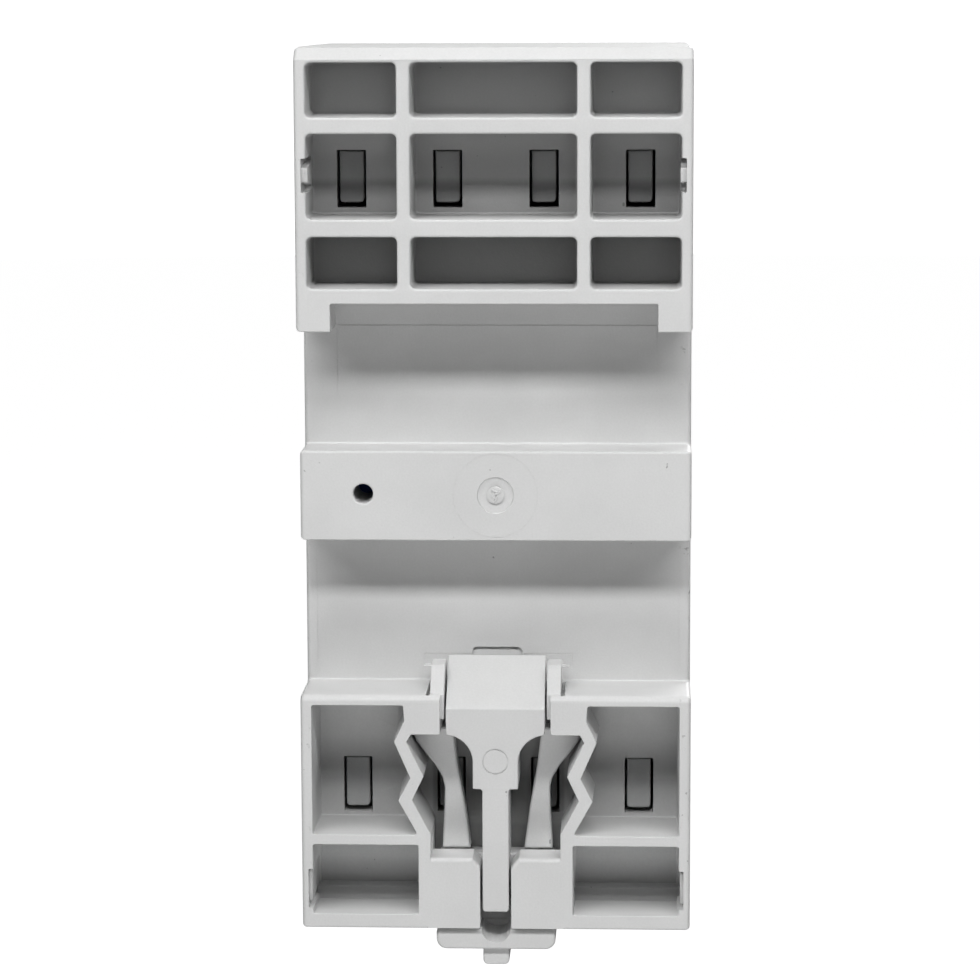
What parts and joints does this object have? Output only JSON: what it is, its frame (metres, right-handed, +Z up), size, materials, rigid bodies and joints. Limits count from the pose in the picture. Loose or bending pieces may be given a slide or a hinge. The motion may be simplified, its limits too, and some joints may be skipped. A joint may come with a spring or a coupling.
{
  "type": "din rail contactor",
  "caption": "Modular contactor for a 35 mm DIN rail, with a sliding rail clip at the rear, screw terminals and a sprung contact carrier inside.",
  "frame": {"origin": "centre of the rail seat: on the rail's centre line, mid width, in the plane of the rail's flanges", "axes": "+Z up, -Y towards the front with the nose, +Y towards the rail, +X to the left of someone who looks at the rear"},
  "size_m": [0.036, 0.0676, 0.0851],
  "materials": {
    "case_grey": "light grey moulded thermoplastic with a fine satin texture",
    "front_grey": "light grey moulded thermoplastic, satin",
    "frame_grey": "mid grey glass-filled thermoplastic",
    "clip_grey": "light grey springy thermoplastic, satin",
    "cover_grey": "darker grey moulded front plate",
    "lens_clear": "clear polished window",
    "flag_red": "red moulded flag",
    "carrier_black": "black thermoset moulding",
    "core_steel": "ground laminated electrical steel",
    "ring_copper": "bare copper, dull",
    "bobbin_cream": "cream glass-filled nylon",
    "winding_copper": "enamelled copper wire in layers",
    "pad_blue": "dark blue rubber",
    "spring_steel": "bright spring wire",
    "contact_copper": "plated copper with silver tips",
    "zinc_steel": "zinc plated steel"
  },
  "bodies": {
    "housing": {"rear_housing": "case_grey", "front_housing": "front_grey", "inner_frame": "frame_grey", "nose_cover": "cover_grey", "window_lens": "lens_clear", "damping_pad": "pad_blue", "fixed_core": "core_steel", "shading_ring_top": "ring_copper", "shading_ring_bottom": "ring_copper", "bobbin": "bobbin_cream", "coil_winding": "winding_copper", "return_spring_1": "spring_steel", "return_spring_2": "spring_steel", "coil_lead_1": "contact_copper", "coil_lead_2": "contact_copper", "fixed_contact_top_1": "contact_copper", "fixed_contact_top_2": "contact_copper", "fixed_contact_top_3": "contact_copper", "fixed_contact_top_4": "contact_copper", "fixed_contact_bottom_1": "contact_copper", "fixed_contact_bottom_2": "contact_copper", "fixed_contact_bottom_3": "contact_copper", "fixed_contact_bottom_4": "contact_copper"},
    "clip": {"din_clip": "clip_grey", "clip_arm_left": "clip_grey", "clip_arm_right": "clip_grey"},
    "carrier": {"contact_carrier": "carrier_black", "armature": "core_steel", "contact_spring_1": "spring_steel", "contact_spring_2": "spring_steel", "contact_spring_3": "spring_steel", "contact_spring_4": "spring_steel"},
    "flag": {"indicator_flag": "flag_red"},
    "bridge_1": {"contact_bridge_1": "contact_copper"},
    "bridge_2": {"contact_bridge_2": "contact_copper"},
    "bridge_3": {"contact_bridge_3": "contact_copper"},
    "bridge_4": {"contact_bridge_4": "contact_copper"},
    "screw_top_1": {"terminal_screw_top_1": "zinc_steel"},
    "cage_top_1": {"terminal_cage_top_1": "zinc_steel"},
    "screw_bottom_1": {"terminal_screw_bottom_1": "zinc_steel"},
    "cage_bottom_1": {"terminal_cage_bottom_1": "zinc_steel"},
    "screw_top_2": {"terminal_screw_top_2": "zinc_steel"},
    "cage_top_2": {"terminal_cage_top_2": "zinc_steel"},
    "screw_bottom_2": {"terminal_screw_bottom_2": "zinc_steel"},
    "cage_bottom_2": {"terminal_cage_bottom_2": "zinc_steel"},
    "screw_top_3": {"terminal_screw_top_3": "zinc_steel"},
    "cage_top_3": {"terminal_cage_top_3": "zinc_steel"},
    "screw_bottom_3": {"terminal_screw_bottom_3": "zinc_steel"},
    "cage_bottom_3": {"terminal_cage_bottom_3": "zinc_steel"},
    "screw_top_4": {"terminal_screw_top_4": "zinc_steel"},
    "cage_top_4": {"terminal_cage_top_4": "zinc_steel"},
    "screw_bottom_4": {"terminal_screw_bottom_4": "zinc_steel"},
    "cage_bottom_4": {"terminal_cage_bottom_4": "zinc_steel"},
    "coil_clamp_1": {"coil_clamp_1": "zinc_steel"},
    "coil_screw_1": {"coil_screw_1": "zinc_steel"},
    "coil_clamp_2": {"coil_clamp_2": "zinc_steel"},
    "coil_screw_2": {"coil_screw_2": "zinc_steel"}
  },
  "joints": [
    {"name": "clip_slide", "type": "slide", "parent": "housing", "child": "clip", "axis": [0, 0, -1], "range_m": [0, 0.0054], "deforming": ["clip_arm_left", "clip_arm_right"]},
    {"name": "carrier_slide", "type": "slide", "parent": "housing", "child": "carrier", "axis": [0, 1, 0], "range_m": [0, 0.003], "stiffness_N_per_m": 400, "springref_m": -0.006, "deforming": ["return_spring_1", "return_spring_2"]},
    {"name": "flag_slide", "type": "slide", "parent": "housing", "child": "flag", "axis": [0, 0, 1], "range_m": [0, 0.003]},
    {"name": "bridge_1_slide", "type": "slide", "parent": "carrier", "child": "bridge_1", "axis": [0, -1, 0], "range_m": [0, 0.0008], "deforming": ["contact_spring_1"]},
    {"name": "bridge_2_slide", "type": "slide", "parent": "carrier", "child": "bridge_2", "axis": [0, -1, 0], "range_m": [0, 0.0008], "deforming": ["contact_spring_2"]},
    {"name": "bridge_3_slide", "type": "slide", "parent": "carrier", "child": "bridge_3", "axis": [0, -1, 0], "range_m": [0, 0.0008], "deforming": ["contact_spring_3"]},
    {"name": "bridge_4_slide", "type": "slide", "parent": "carrier", "child": "bridge_4", "axis": [0, -1, 0], "range_m": [0, 0.0008], "deforming": ["contact_spring_4"]},
    {"name": "screw_top_1_turn", "type": "hinge", "parent": "housing", "child": "screw_top_1", "pos_m": [-0.01325, -0.0417, 0.033], "axis": [0, 1, 0], "range_deg": [0, 1440]},
    {"name": "cage_top_1_slide", "type": "slide", "parent": "housing", "child": "cage_top_1", "axis": [0, -1, 0], "range_m": [0, 0.0028]},
    {"name": "screw_bottom_1_turn", "type": "hinge", "parent": "housing", "child": "screw_bottom_1", "pos_m": [-0.01325, -0.0417, -0.033], "axis": [0, 1, 0], "range_deg": [0, 1440]},
    {"name": "cage_bottom_1_slide", "type": "slide", "parent": "housing", "child": "cage_bottom_1", "axis": [0, -1, 0], "range_m": [0, 0.0028]},
    {"name": "screw_top_2_turn", "type": "hinge", "parent": "housing", "child": "screw_top_2", "pos_m": [-0.00442, -0.0417, 0.033], "axis": [0, 1, 0], "range_deg": [0, 1440]},
    {"name": "cage_top_2_slide", "type": "slide", "parent": "housing", "child": "cage_top_2", "axis": [0, -1, 0], "range_m": [0, 0.0028]},
    {"name": "screw_bottom_2_turn", "type": "hinge", "parent": "housing", "child": "screw_bottom_2", "pos_m": [-0.00442, -0.0417, -0.033], "axis": [0, 1, 0], "range_deg": [0, 1440]},
    {"name": "cage_bottom_2_slide", "type": "slide", "parent": "housing", "child": "cage_bottom_2", "axis": [0, -1, 0], "range_m": [0, 0.0028]},
    {"name": "screw_top_3_turn", "type": "hinge", "parent": "housing", "child": "screw_top_3", "pos_m": [0.00442, -0.0417, 0.033], "axis": [0, 1, 0], "range_deg": [0, 1440]},
    {"name": "cage_top_3_slide", "type": "slide", "parent": "housing", "child": "cage_top_3", "axis": [0, -1, 0], "range_m": [0, 0.0028]},
    {"name": "screw_bottom_3_turn", "type": "hinge", "parent": "housing", "child": "screw_bottom_3", "pos_m": [0.00442, -0.0417, -0.033], "axis": [0, 1, 0], "range_deg": [0, 1440]},
    {"name": "cage_bottom_3_slide", "type": "slide", "parent": "housing", "child": "cage_bottom_3", "axis": [0, -1, 0], "range_m": [0, 0.0028]},
    {"name": "screw_top_4_turn", "type": "hinge", "parent": "housing", "child": "screw_top_4", "pos_m": [0.01325, -0.0417, 0.033], "axis": [0, 1, 0], "range_deg": [0, 1440]},
    {"name": "cage_top_4_slide", "type": "slide", "parent": "housing", "child": "cage_top_4", "axis": [0, -1, 0], "range_m": [0, 0.0028]},
    {"name": "screw_bottom_4_turn", "type": "hinge", "parent": "housing", "child": "screw_bottom_4", "pos_m": [0.01325, -0.0417, -0.033], "axis": [0, 1, 0], "range_deg": [0, 1440]},
    {"name": "cage_bottom_4_slide", "type": "slide", "parent": "housing", "child": "cage_bottom_4", "axis": [0, -1, 0], "range_m": [0, 0.0028]},
    {"name": "coil_clamp_1_slide", "type": "slide", "parent": "housing", "child": "coil_clamp_1", "axis": [0, 1, 0], "range_m": [0, 0.002]},
    {"name": "coil_screw_1_turn", "type": "hinge", "parent": "coil_clamp_1", "child": "coil_screw_1", "pos_m": [-0.0055, -0.0582, -0.017], "axis": [0, 1, 0], "range_deg": [0, 1440]},
    {"name": "coil_clamp_2_slide", "type": "slide", "parent": "housing", "child": "coil_clamp_2", "axis": [0, 1, 0], "range_m": [0, 0.002]},
    {"name": "coil_screw_2_turn", "type": "hinge", "parent": "coil_clamp_2", "child": "coil_screw_2", "pos_m": [0.0055, -0.0582, -0.017], "axis": [0, 1, 0], "range_deg": [0, 1440]}
  ],
  "couplings": [
    {"joint": "flag_slide", "follows": "carrier_slide", "ratio": 1},
    {"joint": "bridge_1_slide", "follows": "carrier_slide", "ratio": 0.2666},
    {"joint": "bridge_2_slide", "follows": "carrier_slide", "ratio": 0.2666},
    {"joint": "bridge_3_slide", "follows": "carrier_slide", "ratio": 0.2666},
    {"joint": "bridge_4_slide", "follows": "carrier_slide", "ratio": 0.2666},
    {"joint": "screw_top_1_turn", "follows": "cage_top_1_slide", "rad_per_m": 8975.9},
    {"joint": "screw_bottom_1_turn", "follows": "cage_bottom_1_slide", "rad_per_m": 8975.9},
    {"joint": "screw_top_2_turn", "follows": "cage_top_2_slide", "rad_per_m": 8975.9},
    {"joint": "screw_bottom_2_turn", "follows": "cage_bottom_2_slide", "rad_per_m": 8975.9},
    {"joint": "screw_top_3_turn", "follows": "cage_top_3_slide", "rad_per_m": 8975.9},
    {"joint": "screw_bottom_3_turn", "follows": "cage_bottom_3_slide", "rad_per_m": 8975.9},
    {"joint": "screw_top_4_turn", "follows": "cage_top_4_slide", "rad_per_m": 8975.9},
    {"joint": "screw_bottom_4_turn", "follows": "cage_bottom_4_slide", "rad_per_m": 8975.9},
    {"joint": "coil_screw_1_turn", "follows": "coil_clamp_1_slide", "rad_per_m": 12566},
    {"joint": "coil_screw_2_turn", "follows": "coil_clamp_2_slide", "rad_per_m": 12566}
  ]
}
